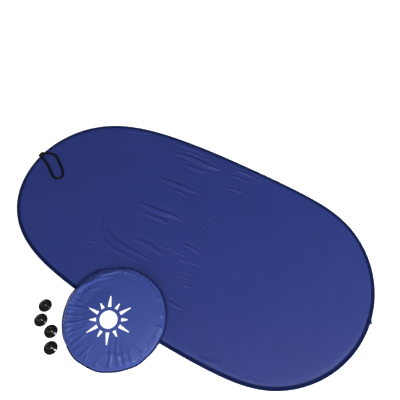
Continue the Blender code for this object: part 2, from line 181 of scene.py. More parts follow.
# Folds drawn in by the rim: (degrees, how far in as a share of the radius, half width, height)
PUCKERS = [
    (166, 0.24, 0.003, 0.0011), (173, 0.46, 0.0026, 0.0013), (181, 0.3, 0.0024, 0.0011),
    (187, 0.56, 0.0028, 0.0014), (192, 0.34, 0.0022, 0.001), (198, 0.62, 0.003, 0.0015),
    (204, 0.28, 0.0024, 0.0012), (209, 0.5, 0.0026, 0.0015), (213, 0.38, 0.0022, 0.0011),
    (220, 0.58, 0.0028, 0.0015), (226, 0.26, 0.0024, 0.0011), (232, 0.48, 0.0028, 0.0014),
    (239, 0.34, 0.0026, 0.0012), (247, 0.52, 0.003, 0.0016), (254, 0.3, 0.0026, 0.0012),
    (264, 0.42, 0.0034, 0.0018), (271, 0.26, 0.0028, 0.0014), (284, 0.24, 0.0034, 0.001),
    (301, 0.46, 0.0038, 0.002), (311, 0.58, 0.0042, 0.0026), (319, 0.5, 0.0036, 0.0024),
    (328, 0.56, 0.004, 0.0022), (340, 0.32, 0.0032, 0.0013), (351, 0.2, 0.0028, 0.001),
    (2, 0.16, 0.0026, 0.0009), (15, 0.22, 0.003, 0.0012), (29, 0.14, 0.0026, 0.0008),
    (51, 0.16, 0.003, 0.0009), (70, 0.14, 0.0026, 0.0008), (88, 0.18, 0.0028, 0.001),
    (99, 0.14, 0.0026, 0.0012), (110, 0.2, 0.0028, 0.0013), (122, 0.15, 0.0026, 0.0012),
    (135, 0.2, 0.0028, 0.0012), (150, 0.18, 0.0028, 0.0011),
]
# Folds along the rim: (from and to in degrees, share of the radius at both ends, half width, height)
RIM_FOLDS = [
    (126, 172, 0.78, 0.88, 0.0034, 0.0018), (140, 182, 0.62, 0.76, 0.0042, 0.0015),
    (112, 152, 0.91, 0.84, 0.0028, 0.0014), (96, 120, 0.86, 0.92, 0.0028, 0.0012),
    (34, 80, 0.86, 0.88, 0.0045, 0.0013), (-72, -34, 0.68, 0.78, 0.005, 0.001),
]
SUN_PLACE = (-0.003, -0.0135)  # the printed sun, from the pouch's middle
SUN_DISC, SUN_RAYS, RAY_INNER, RAY_LONG, RAY_SHORT = 0.0205, 12, 0.0290, 0.0560, 0.0440
RAY_FOOT, RAY_TIP = 0.0042, 0.0011  # half widths

# The suction cups, in section from the top of the button down to the rim, then up inside
CUP_SECTION = [
    (0.0, 0.01475), (0.0009, 0.01475), (0.0012, 0.015), (0.0046, 0.0149), (0.0058, 0.0143),
    (0.0062, 0.0134), (0.006, 0.0123), (0.005, 0.0113), (0.0044, 0.0104), (0.0042, 0.0094),
    (0.0046, 0.0083), (0.0062, 0.007), (0.0095, 0.005), (0.0125, 0.0031), (0.0146, 0.0017),
    (0.0156, 0.0011), (0.016, 0.0006), (0.016, 0.0002), (0.0157, 0.0), (0.015, 0.0001), (0.012, 0.0014),
    (0.008, 0.0029), (0.004, 0.0036), (0.0, 0.0038),
]
CUP_STEPS = 72


# ---------------------------------------------------------------- camera, light and stage
def placed(name, data):
    """A new object in the scene."""
    made = bpy.data.objects.new(name, data)
    bpy.context.scene.collection.objects.link(made)
    return made


def camera():
    """The photograph's view."""
    level = math.cos(ELEVATION)
    back = Vector((math.sin(AZIMUTH) * level, -math.cos(AZIMUTH) * level, math.sin(ELEVATION)))
    data = bpy.data.cameras.new("camera")
    data.lens, data.sensor_width = LENS, SENSOR
    made = placed("camera", data)
    made.location = LOOK_AT + DISTANCE * back
    made.rotation_euler = (-back).to_track_quat("-Z", "Y").to_euler()
    bpy.context.scene.camera = made


def area_light(name, place, size, power, mirrored=True):
    """A square soft box that faces the object, and may be left out of glossy reflections."""
    data = bpy.data.lights.new(name, "AREA")
    data.size = size
    data.energy = power
    made = placed(name, data)
    made.location = place
    made.rotation_euler = (LIT_POINT - Vector(place)).to_track_quat("-Z", "Y").to_euler()
    made.visible_glossy = mirrored


def studio():
    """A white floor, a pale world that only fills, and soft boxes."""
    scene = bpy.context.scene
    scene.view_settings.view_transform = "Standard"
    world = bpy.data.worlds.new("studio")
    scene.world = world
    world.use_nodes = True
    tree = world.node_tree
    fill = tree.nodes["Background"]
    fill.inputs["Color"].default_value = (0.92, 0.95, 1.0, 1.0)
    fill.inputs["Strength"].default_value = 0.15
    seen = node(tree, "ShaderNodeBackground", {"Strength": 0.62})
    rays = node(tree, "ShaderNodeLightPath")
    shaders = {1: fill.outputs["Background"], 2: seen.outputs["Background"]}
    mix = node(tree, "ShaderNodeMixShader", {"Fac": rays.outputs["Is Camera Ray"], **shaders})
    tree.links.new(mix.outputs["Shader"], tree.nodes["World Output"].inputs["Surface"])
    area_light("side", (2.0, 0.1, 1.7), 0.8, 72)
    area_light("front", (0.9, -3.9, 2.3), 2.6, 165, mirrored=False)
    area_light("top", (0.5, -0.9, 3.4), 1.8, 42)

    data = bpy.data.meshes.new("floor")
    mesh = bmesh.new()
    bmesh.ops.create_grid(mesh, x_segments=1, y_segments=1, size=12)
    mesh.to_mesh(data)
    mesh.free()
    glow = {"Emission_Color": (1.0, 1.0, 1.0, 1.0), "Emission_Strength": 0.45}
    data.materials.append(principled("floor", (0.93, 0.93, 0.93), 0.9, Specular_IOR_Level=0.1, **glow)[0])
    placed("floor", data)


# ---------------------------------------------------------------- materials
def node(tree, kind, inputs=None, **settings):
    """A node with its settings, and its inputs set to values or linked to other nodes' outputs."""
    made = tree.nodes.new(kind)
    for name, value in settings.items():
        setattr(made, name, value)
    for key, value in (inputs or {}).items():
        if isinstance(value, bpy.types.NodeSocket):
            tree.links.new(value, made.inputs[key])
        else:
            made.inputs[key].default_value = value
    return made


def value(tree, operation, *inputs):
    """The result of a maths node."""
    return node(tree, "ShaderNodeMath", dict(enumerate(inputs)), operation=operation).outputs[0]


def principled(name, colour, roughness, **sockets):
    """A Principled material, its node tree and its shader."""
    made = bpy.data.materials.new(name)
    made.use_nodes = True
    shader = made.node_tree.nodes["Principled BSDF"]
    shader.inputs["Base Color"].default_value = (*colour, 1.0)
    shader.inputs["Roughness"].default_value = roughness
    for key, setting in sockets.items():
        shader.inputs[key.replace("_", " ")].default_value = setting
    return made, made.node_tree, shader


def tinted(tree, colour, share, by):
    """The colour made darker and lighter by a share, as a value between 0 and 1 says."""
    dark = (*(c * (1 - share) for c in colour), 1.0)
    light = (*(c * (1 + share) for c in colour), 1.0)
    mix = node(tree, "ShaderNodeMix", {0: by, 6: dark, 7: light}, data_type="RGBA")
    return mix.outputs[2]


def threads(tree, across, pitch):
    """Threads a pitch apart along one coordinate: 1 on each one's back, 0 between."""
    turns = value(tree, "MULTIPLY", across, math.pi / pitch)
    return value(tree, "ABSOLUTE", value(tree, "SINE", turns))


def noise(tree, place, scale, detail):
    """Noise between 0 and 1."""
    sockets = {"Vector": place, "Scale": scale, "Detail": detail}
    return node(tree, "ShaderNodeTexNoise", sockets).outputs["Fac"]


def drawn_out(tree, place, scale):
    """A place scaled by its own amount each way, for noise that runs along the cloth."""
    return node(tree, "ShaderNodeMapping", {"Vector": place, "Scale": (*scale, 1.0)}).outputs[0]


def mixed(tree, first, share, second):
    """A share of the first value and the rest of the second."""
    return value(tree, "MULTIPLY_ADD", first, share, value(tree, "MULTIPLY", second, 1 - share))


def on_cloth(tree):
    """The place on the cloth in metres, and its two coordinates."""
    place = node(tree, "ShaderNodeUVMap", uv_map="metres").outputs["UV"]
    parts = node(tree, "ShaderNodeSeparateXYZ", {"Vector": place})
    return place, parts.outputs["X"], parts.outputs["Y"]


def surfaced(parts, colour, share, shade, rough, height, depth):
    """The material, with its tint, its roughness (value, span, lowest) and its bump linked up."""
    made, tree, shader = parts
    tree.links.new(tinted(tree, colour, share, shade), shader.inputs["Base Color"])
    if rough:
        tree.links.new(value(tree, "MULTIPLY_ADD", *rough), shader.inputs["Roughness"])
    relief = node(tree, "ShaderNodeBump", {"Height": height, "Distance": depth, "Strength": 1.0})
    tree.links.new(relief.outputs["Normal"], shader.inputs["Normal"])
    return made


def satin(name, colour, pitch, **sockets):
    """Woven cloth with a soft gloss: its threads, a slight slub, uneven dye, and painted shade darkening the
    colour between the threads.
    """
    parts = principled(name, colour, 0.36, **sockets)
    tree = parts[1]
    place, x, y = on_cloth(tree)
    over = value(tree, "MULTIPLY", threads(tree, x, pitch), threads(tree, y, pitch))
    slub = noise(tree, drawn_out(tree, place, (60.0, 900.0)), 1.0, 2.0)
    # The tint is partly painted shade, darker between the threads, and partly uneven dye.
    shade = mixed(tree, over, 0.35, noise(tree, place, 9.0, 3.0))
    height = value(tree, "MULTIPLY_ADD", slub, 0.5, over)
    return surfaced(parts, colour, 0.16, shade, (slub, 0.10, 0.34), height, 0.00004)


def silvered(name, colour, pitch):
    """Woven cloth with a thin aluminium coat: painted shade darkens it between its threads, with a cloudy
    tone and gloss.
    """
    parts = principled(name, colour, 0.42, Metallic=0.55)
    tree = parts[1]
    place, x, y = on_cloth(tree)
    over = value(tree, "MULTIPLY", threads(tree, x, pitch), threads(tree, y, pitch))
    cloudy = noise(tree, place, 14.0, 4.0)
    # The tint is partly painted shade, darker between the threads, and partly a cloudy tone.
    shade = mixed(tree, over, 0.5, cloudy)
    return surfaced(parts, colour, 0.07, shade, (cloudy, 0.22, 0.32), over, 0.00005)


def ribbed_tape(name, colour, rib):
    """Binding tape with ribs across it: painted highlight on each rib's crest and painted shade between the
    ribs, mixed with a fuzzy uneven tone.
    """
    parts = principled(name, colour, 0.6, Specular_IOR_Level=0.05)
    tree = parts[1]
    place, x, y = on_cloth(tree)
    ribs, fine = threads(tree, x, rib), threads(tree, y, rib * 0.6)
    fuzz = noise(tree, place, 260.0, 3.0)
    height = value(tree, "MULTIPLY_ADD", fine, 0.3, value(tree, "MULTIPLY_ADD", fuzz, 0.5, ribs))
    # The tint is painted highlight and shade: lighter on each rib's crest, darker between the ribs, mixed
    # with fuzz.
    return surfaced(parts, colour, 0.30, mixed(tree, ribs, 0.5, fuzz), (fuzz, 0.2, 0.5), height, 0.00008)


def spun(name, colour, roughness, scale, depth, **sockets):
    """Thread or elastic: fine strands along the piece, dull and slightly uneven."""
    parts = principled(name, colour, roughness, **sockets)
    tree = parts[1]
    strands = noise(tree, drawn_out(tree, on_cloth(tree)[0], (scale * 0.3, scale)), 1.0, 3.0)
    return surfaced(parts, colour, 0.45, strands, (strands, 0.2, roughness - 0.1), strands, depth)


def ink(name, colour):
    """Screen-printed white, with a fine speckled unevenness."""
    parts = principled(name, colour, 0.5)
    specks = noise(parts[1], on_cloth(parts[1])[0], 900.0, 4.0)
    return surfaced(parts, colour, 0.10, specks, None, specks, 0.00004)


def smooth_solid(name, colour, roughness, share, specks, cloudy, rough, **sockets):
    """A plain surface: specks tint it, and a second noise varies its gloss and its relief."""
    parts = principled(name, colour, roughness, **sockets)
    place = node(parts[1], "ShaderNodeTexCoord").outputs["Object"]
    shade, cloud = noise(parts[1], place, *specks), noise(parts[1], place, *cloudy)
    return surfaced(parts, colour, share, shade, (cloud, *rough), cloud, 0.00003)


def looks():
    """Every material by a short name."""
    vinyl = ((0.0040, 0.0040, 0.0042), 0.12, 0.5, (1500.0, 5.0), (160.0, 2.0), (0.10, 0.06))
    steel = ((0.52, 0.52, 0.53), 0.3, 0.15, (700.0, 4.0), (700.0, 4.0), (0.25, 0.2))
    black = (0.0026, 0.0026, 0.0030)
    return {
        "blue": satin("blue_satin", (0.0170, 0.0272, 0.139), 0.0005, Specular_IOR_Level=0.24),
        "pouch": satin("pouch_satin", (0.0265, 0.0465, 0.200), 0.0005, Specular_IOR_Level=0.24),
        "silver": silvered("silvered_cloth", (0.66, 0.69, 0.70), 0.0006),
        "tape": ribbed_tape("navy_tape", (0.0030, 0.0078, 0.045), 0.0007),
        "hem": ribbed_tape("pouch_hem_tape", (0.0085, 0.0120, 0.075), 0.0006),
        "thread": spun("navy_thread", (0.016, 0.020, 0.10), 0.6, 3000.0, 0.00003),
        "elastic": spun("black_elastic", black, 0.5, 2500.0, 0.00006, Specular_IOR_Level=0.20),
        "ink": ink("white_ink", (0.80, 0.81, 0.84)),
        "vinyl": smooth_solid("black_vinyl", *vinyl, Specular_IOR_Level=0.42),
        "steel": smooth_solid("spring_steel", *steel, Metallic=1.0),
    }


# ---------------------------------------------------------------- meshes
def unit(rows):
    """Each row's vector made one long."""
    return rows / np.linalg.norm(rows, axis=-1, keepdims=True)


def run_along(line):
    """How far along a line each of its points is."""
    return np.concatenate([[0], np.cumsum(np.linalg.norm(np.diff(line, axis=0), axis=1))])


def full_turn(count):
    """Angles evenly round a circle."""
    return np.arange(count) * 2 * np.pi / count


def circle(angles):
    """Points at angles on a circle of radius 1."""
    return np.stack([np.cos(angles), np.sin(angles)], -1)


def spokes(across, up, angles):
    """Directions at angles round each point, from the two that are square to its course."""
    return across[:, None] * np.cos(angles)[None, :, None] + up[:, None] * np.sin(angles)[None, :, None]


def quads(count, size):
    """The faces between rings of points, for this many rings of this size."""
    found = []
    for i in range(count - 1):
        for j in range(size):
            k = (j + 1) % size
            found.append((i * size + j, i * size + k, (i + 1) * size + k, (i + 1) * size + j))
    return found


def smooth_step(share):
    """A share from 0 to 1 that leaves and arrives gently."""
    return share * share * (3 - 2 * share)


def piece(name, points, faces, looks_used, corner_uv=None, face_looks=None):
    """A smooth mesh object from points, faces and each face corner's place on the cloth."""
    data = bpy.data.meshes.new(name)
    data.from_pydata([tuple(p) for p in np.asarray(points, float)], [], [tuple(f) for f in faces])
    for look in looks_used:
        data.materials.append(look)
    if face_looks is not None:
        data.polygons.foreach_set("material_index", np.asarray(face_looks, np.int32))
    if corner_uv is not None:
        layer = data.uv_layers.new(name="metres")
        layer.data.foreach_set("uv", np.asarray(corner_uv, np.float32).ravel())
    data.shade_smooth()
    data.validate()
    return placed(name, data)


def face_outwards(made):
    """Turn a closed mesh's faces outwards."""
    mesh = bmesh.new()
    mesh.from_mesh(made.data)
    bmesh.ops.recalc_face_normals(mesh, faces=mesh.faces)
    mesh.to_mesh(made.data)
    mesh.free()


def lofted(name, rings, look):
    """A closed skin through rings of points, with flat ends, and its length and girth as UVs."""
    rings = np.asarray(rings, float)
    count, size = rings.shape[:2]
    along = run_along(rings.mean(1))
    around = run_along(np.concatenate([rings[count // 2], rings[count // 2][:1]]))
    faces, uvs = quads(count, size), []
    for near, far in zip(along, along[1:]):
        for a, b in zip(around, around[1:]):
            uvs += [(near, a), (near, b), (far, b), (far, a)]
    for first, order in ((0, range(size - 1, -1, -1)), ((count - 1) * size, range(size))):
        faces.append(tuple(first + j for j in order))
        uvs += [(along[-1] if first else 0.0, around[j]) for j in order]
    made = piece(name, rings.reshape(-1, 3), faces, [look], uvs)
    face_outwards(made)
    return made


def capsules(name, starts, ends, ups, radius, look):
    """Short threads from starts to ends, each arched a little and rounded at both ends."""
    stations = np.array([0.0, 0.10, 0.30, 0.70, 0.90, 1.0])
    girth = np.array([0.30, 0.80, 1.0, 1.0, 0.80, 0.30])
    arch = np.array([-0.9, -0.2, 0.3, 0.3, -0.2, -0.9])
    sides = 6
    along = unit(ends - starts)
    side = unit(np.cross(along, ups))
    ups = np.cross(side, along)
    middle = starts[:, None] + (ends - starts)[:, None] * stations[None, :, None]
    middle = middle + ups[:, None] * (arch * radius)[None, :, None]
    rays = spokes(side, ups, full_turn(sides))
    points = middle[:, :, None] + rays[:, None] * (girth * radius)[None, :, None, None]
    size = len(stations) * sides
    one = quads(len(stations), sides)
    one.append(tuple(range(sides - 1, -1, -1)))
    one.append(tuple(size - sides + j for j in range(sides)))
    faces = [tuple(v + size * n for v in face) for n in range(len(starts)) for face in one]
    one_uv = [(stations[v // sides] * 0.003, (v % sides) * radius) for face in one for v in face]
    return piece(name, points.reshape(-1, 3), faces, [look], one_uv * len(starts))


def smooth_path(points, steps):
    """A Catmull-Rom curve through the points, with this many steps on each span."""
    points = np.asarray(points, float)
    ends = np.concatenate([[2 * points[0] - points[1]], points, [2 * points[-1] - points[-2]]])
    curve = []
    for a, b, c, d in zip(ends, ends[1:], ends[2:], ends[3:]):
        for u in np.arange(steps) / steps:
            bend, twist = 2 * a - 5 * b + 4 * c - d, 3 * b - a - 3 * c + d
            curve.append((2 * b + (c - a) * u + bend * u**2 + twist * u**3) / 2)
    return np.array([*curve, points[-1]])


def evenly(path, step):
    """The path again, as points about a step apart."""
    run = run_along(path)
    places = np.linspace(0, run[-1], max(2, round(run[-1] / step) + 1))
    return np.stack([np.interp(places, run, path[:, k]) for k in range(path.shape[1])], -1)


def wander(run, waves):
    """A smooth wavy value along a run, from (wavelength, height, phase) of each wave."""
    return sum(height * np.sin(2 * np.pi * run / length + phase) for length, height, phase in waves)


# ---------------------------------------------------------------- the panel's outline
def edge(turns):
    """The panel's outer edge about its own middle, as in the CAD source."""
    half_width = WIDTH / 2
    straight = LENGTH / 2 - half_width
    across = np.cos(turns)
    k = np.where(across > 0, PLAIN_END_SQUARENESS, LOOP_END_SQUARENESS)
    x = half_width * across + straight * np.tanh(across / k) / np.tanh(1 / k)
    y = half_width * np.sin(turns) * (1 + TAPER * x / (LENGTH / 2))
    return np.stack([x, y], -1)


def inward(turns):
    """The direction into the panel, square to its edge."""
    along = unit(edge(turns + 1e-4) - edge(turns - 1e-4))
    return np.stack([-along[..., 1], along[..., 0]], -1)


def even_turns(first, last, step):
    """Turns from one to another, about a step apart along the edge, and closer in a fold's bend."""
    fine = np.linspace(first, last, 8001)
    spans = np.linalg.norm(np.diff(edge(fine), axis=0), axis=1)
    x = np.abs(edge(fine)[:-1, 0])
    bent = (x > FOLD_X - 0.003) & (x < FOLD_X + BEND_PAST + 0.004)
    count = np.concatenate([[0], np.cumsum(spans / np.where(bent, min(step, BEND_STEP), step))])
    return np.interp(np.linspace(0, count[-1], round(count[-1]) + 1), count, fine)


def half_turns(side, step):
    """The turns of the right half of the edge, or of the left, and their run from the middle's front."""
    start = -np.pi / 2 if side == "right" else np.pi / 2
    end = start + np.pi / 2
    turns = np.concatenate([even_turns(start, end, step), even_turns(end, start + np.pi, step)[1:]])
    return turns, run_along(edge(turns))


def from_edge(turns, reach):
    """Places at each reach in from the edge, for every turn."""
    return edge(turns)[:, None] + inward(turns)[:, None] * reach[..., None]


def in_kit(places, heights):
    places = np.asarray(places, float) + (PANEL_X, PANEL_Y)
    heights = np.broadcast_to(heights, places.shape[:-1])
    return np.concatenate([places, heights[..., None]], -1)


def across_fold(made):
    """Bake a finished half's transform into its mesh."""
    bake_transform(made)


# ---------------------------------------------------------------- binding, thread and wire
def tape_wave(turns):
    """How far the tape stands in and up from its plain course, from each point's own place."""
    place = edge(turns)
    run = place[..., 0] + place[..., 1] * 0.73
    inwards = wander(run, [(0.21, 0.00010, 0.4), (0.083, 0.00008, 2.0), (0.031, 0.00005, 1.1)])
    upwards = wander(run, [(0.17, 0.00008, 1.4), (0.057, 0.00006, 0.3), (0.019, 0.00004, 2.6)])
    return inwards, upwards


def both_sides(half, up):
    """A half section and its mirror image, from one inner end round to the other."""
    return [(d, up * z) for d, z in reversed(half)] + [(d, -up * z) for d, z in half[1:]]


def binding(side, look):
    """One half of the binding tape, folded round the wire and the cloths' edges."""
    turns, _ = half_turns(side, 0.0035)
    section = np.array(both_sides(TAPE_OUTER, 1) + both_sides(TAPE_INNER, -1))
    inwards, upwards = tape_wave(turns)
    reach = section[None, :, 0] + inwards[:, None] * (section[None, :, 0] / 0.009)
    places = from_edge(turns, reach)
    flap = np.clip((section[:, 0] - 0.004) / 0.005, 0, 1)
    heights = TAPE_MIDDLE + section[None, :, 1] + upwards[:, None] * (0.5 + flap[None])
    heights = np.maximum(heights, 0.00002)
    made = lofted(f"binding_tape_{side}", in_kit(places, heights), look)
    across_fold(made)
    return made


def binding_stitches(side, look):
    """The lockstitch along the tape, above and below."""
    turns, run = half_turns(side, 0.0010)
    starts, ends, ups = [], [], []
    count = int(run[-1] / STITCH_PITCH)
    margin = (run[-1] - count * STITCH_PITCH) / 2
    low = margin + STITCH_PITCH * np.arange(count) + (STITCH_PITCH - STITCH_LENGTH) / 2
    for way in (1, -1):
        ends_of = []
        for place in (low, low + STITCH_LENGTH):
            at = np.interp(place, run, turns)
            _, upwards = tape_wave(at)
            height = TAPE_MIDDLE + way * (TAPE_OUTER[8][1] + 0.0001) + upwards * 1.1
            ends_of.append(in_kit(edge(at) + STITCH_INSET * inward(at), height))
        starts.append(ends_of[0])
        ends.append(ends_of[1])
        ups.append(np.tile([0.0, 0.0, way], (count, 1)))
    lines = (np.concatenate(starts), np.concatenate(ends), np.concatenate(ups))
    made = capsules(f"binding_stitches_{side}", *lines, THREAD, look)
    across_fold(made)
    return made


def hoop_wire(side, look):
    """One half of the sprung wire hoop, inside the binding."""
    lo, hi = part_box("hoop_wire_front")
    radius, middle = (hi.z - lo.z) / 2, (hi.z + lo.z) / 2
    turns, _ = half_turns(side, 0.006)
    round_wire = radius * circle(full_turn(WIRE_SIDES))
    places = from_edge(turns, WIRE_INSET + round_wire[None, :, 0])
    heights = middle + round_wire[:, 1]
    made = lofted(f"hoop_wire_{side}_half", in_kit(places, heights[None]), look)
    across_fold(made)
    return made


def end_tab(look, thread):
    """The tape's own end, folded over where the round is closed, with a stitched edge."""
    middle = np.arcsin(TAB_Y / (WIDTH / 2))
    turns = np.linspace(middle - TAB_HALF_TURN, middle + TAB_HALF_TURN, 15)
    lift, wall = TAB_LIFT, TAB_WALL
    base = np.array(both_sides(TAPE_OUTER, 1)[: len(TAPE_OUTER) + 6])
    along = np.gradient(base, axis=0)
    out = unit(np.stack([-along[:, 1], along[:, 0]], -1))
    out *= np.sign(((base - [0.004, 0.0]) * out).sum(1))[:, None]
    under, over = base + out * lift * 0.5, base + out * (lift * 0.5 + wall)
    section = np.concatenate([over, under[::-1]])
    swell = 1 + 0.10 * np.sin(np.linspace(0, np.pi, len(turns)))
    share = np.linspace(0, 1, len(turns))
    skew = 0.0034 * np.exp(-(((share - 0.36) / 0.17) ** 2)) + 0.0003
    reach = section[None, :, 0] - skew[:, None] * np.clip(1.4 - section[None, :, 0] / 0.0018, 0, 1)
    places = from_edge(turns, reach)
    heights = TAPE_MIDDLE + section[None, :, 1] * swell[:, None]
    heights = np.maximum(heights, 0.0001)
    made = lofted("binding_end_fold", in_kit(places, heights), look)
    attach(made, "right_wing")
    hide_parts("binding_end_tab")

    starts, ends = [], []
    for row in (0.18, 0.82):
        at = np.array([turns[0] + row * (turns[-1] - turns[0])])
        for d in (0.0025, 0.0046, 0.0067):
            top = np.interp(d, [p[0] for p in TAPE_OUTER], [p[1] for p in TAPE_OUTER])
            height = TAPE_MIDDLE + top * 1.06 + lift * 0.5 + wall + 0.0001
            starts.append(in_kit(edge(at) + (d - 0.0008) * inward(at), height)[0])
            ends.append(in_kit(edge(at) + (d + 0.0008) * inward(at), height)[0])
    ups = np.tile([0.0, 0.0, 1.0], (len(starts), 1))
    tack = capsules("binding_end_stitches", np.array(starts), np.array(ends), ups, THREAD, thread)
    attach(tack, "right_wing")


# ---------------------------------------------------------------- the cloths
def triangulated(outline, inner_lines, fill):
    """Triangles over the inside of an outline, with edges along inner lines and at the fill points."""
    points = [Vector(p) for p in outline]
    edges = [(i, (i + 1) % len(outline)) for i in range(len(outline))]
    for line, closed in inner_lines:
        first = len(points)
        points += [Vector(p) for p in line]
        edges += [(first + i, first + i + 1) for i in range(len(line) - 1)]
        if closed:
            edges.append((first + len(line) - 1, first))
    points += [Vector(p) for p in fill]
    found, _, faces, *_ = delaunay_2d_cdt(points, edges, [], 1, 1e-7)
    return np.array([tuple(p) for p in found]), np.array([tuple(f) for f in faces if len(f) == 3])


def staggered(low, high, spacing):
    """Points in staggered rows over a box."""
    rows = np.arange(low[1], high[1], spacing * math.sqrt(3) / 2)
    columns = np.arange(low[0], high[0], spacing)
    x, y = np.meshgrid(columns, rows)
    x = x + (np.arange(len(rows)) % 2)[:, None] * spacing / 2
    return np.stack([x.ravel(), y.ravel()], -1)


def rim_distance(places, line):
    """Each place's distance to the nearest point of a line, and that point's number."""
    tree = kdtree.KDTree(len(line))
    for i, p in enumerate(line):
        tree.insert((p[0], p[1], 0.0), i)
    tree.balance()
    found = [tree.find((p[0], p[1], 0.0)) for p in places]
    return np.array([f[2] for f in found]), np.array([f[1] for f in found])


def crease(places, half_width, height, route):
    """A raised fold with a shallow valley on each side, dying away towards both its ends."""
    line = smooth_path(route, 8)
    reach = 5 * half_width
    near = np.all((places > line.min(0) - reach) & (places < line.max(0) + reach), axis=1)
    p = places[near]
    a, d = line[:-1], np.diff(line, axis=0)
    size = (d**2).sum(1)
    t = np.clip(((p[:, None] - a[None]) * d[None]).sum(-1) / size[None], 0, 1)
    off = p[:, None] - (a[None] + t[..., None] * d[None])
    away = np.linalg.norm(off, axis=-1)
    best = away.argmin(1)
    pick = np.arange(len(p))
    share = (best + t[pick, best]) / len(d)
    sign = np.sign(d[best, 0] * off[pick, best, 1] - d[best, 1] * off[pick, best, 0])
    signed = sign * away[pick, best] + 0.25 * half_width * np.sin(9 * share + 40 * height / half_width)
    body = np.sin(np.pi * share) ** 0.8
    q = signed / (half_width * (0.45 + 0.55 * body))
    ridge = np.exp(-np.abs(q) ** 1.7)
    valley = 0.45 * np.exp(-(((q - 2.0) / 1.1) ** 2)) + 0.32 * np.exp(-(((q + 2.0) / 1.2) ** 2))
    lift = np.zeros(len(places))
    lift[near] = height * body * (ridge - valley)
    return lift


def scattered(count, seed, low, high, length, slope, half_width, height):
    """Folds strewn over a box, each a shallow bow."""
    seeds = np.random.default_rng(seed)
    found = []
    for _ in range(count):
        middle = seeds.uniform(low, high)
        turn = math.atan(seeds.uniform(*slope))
        half = seeds.uniform(*length) / 2
        along = half * np.array([math.cos(turn), math.sin(turn)])
        bow = seeds.uniform(-0.08, 0.08) * np.array([-along[1], along[0]])
        route = [middle - along, middle + bow, middle + along]
        found.append((seeds.uniform(*half_width), seeds.uniform(*height), route))
    return found


def layer_heights(places, creases, edge_line, ripple, give):
    """A cloth's height over its plain course: folds, a broad unevenness and puckers at its edge.

    It never sinks by more than it can give before it meets the cloth behind it.
    """
    inset, nearest = rim_distance(places, edge_line)
    run = run_along(edge_line)[nearest]
    lift = LOFT + sum(
        crease(places, FOLD_WIDTH_SCALE * w, FOLD_HEIGHT_SCALE * h, route) for w, h, route in creases
    )
    x, y = places[:, 0], places[:, 1]
    lift = lift + 0.00045 * np.sin(2 * np.pi * (x * 2.1 + y * 1.3) + 0.6)
    lift = lift + 0.00035 * np.sin(2 * np.pi * (x * 1.2 - y * 3.1) + 2.1)
    lift = lift + 0.00012 * np.sin(2 * np.pi * (x * 5.3 + y * 9.7) + 1.3) * np.sin(2 * np.pi * x * 3.1)
    wave = wander(run, [(0.0131, 0.5, 0.3), (0.0197, 0.8, 1.9), (0.0413, 0.9, 0.7)])
    some = 0.5 + 0.5 * np.sin(2 * np.pi * run / 0.61 + 0.9)
    lift = lift + ripple * wave * some * np.exp(-np.maximum(inset - 0.004, 0) / 0.012)
    soft = 0.00025
    lift = soft * np.logaddexp(0, (lift + give) / soft) - give
    pressed = np.clip((np.hypot(x + 0.448, y * 1.5) - 0.066) / 0.03, 0.3, 1)
    free = np.clip((inset - 0.0042) / 0.006, 0, 1)
    return lift * pressed * smooth_step(free)


def corner_normals(points, faces):
    """Each point's normal, from the faces round it."""
    a, b, c = (points[faces[:, k]] for k in range(3))
    face = np.cross(b - a, c - a)
    out = np.zeros_like(points)
    for k in range(3):
        np.add.at(out, faces[:, k], face)
    return unit(out)


def border(faces):
    """The directed edges that only one triangle uses."""
    edges = np.concatenate([faces[:, [0, 1]], faces[:, [1, 2]], faces[:, [2, 0]]])
    keys = {tuple(e) for e in edges}
    return [e for e in map(tuple, edges) if (e[1], e[0]) not in keys]


def thick_sheet(name, points, faces, normals, places, looks_used, marked=None):
    """A cloth with a thickness: the faces, a copy of them below, and a rim between the two."""
    used = np.unique(faces)
    index = np.full(len(points), -1)
    index[used] = np.arange(len(used))
    top, out, flat = points[used], normals[used], places[used]
    faces = index[faces]
    count = len(used)
    walls = [(b, a, a + count, b + count) for a, b in border(faces)]
    under = faces[:, ::-1] + count
    every = [*map(tuple, faces), *map(tuple, under), *walls]
    both = np.concatenate([flat, flat])
    uvs = both[np.concatenate([faces.ravel(), under.ravel(), np.array(walls).ravel()])]
    kinds = None
    if marked is not None:
        kinds = np.concatenate([marked, np.zeros(len(every) - len(marked), int)])
    made = piece(name, np.concatenate([top, top - out * CLOTH]), every, looks_used, uvs, kinds)
    made.data.normals_split_custom_set_from_vertices([tuple(n) for n in np.concatenate([out, -out])])
    return made


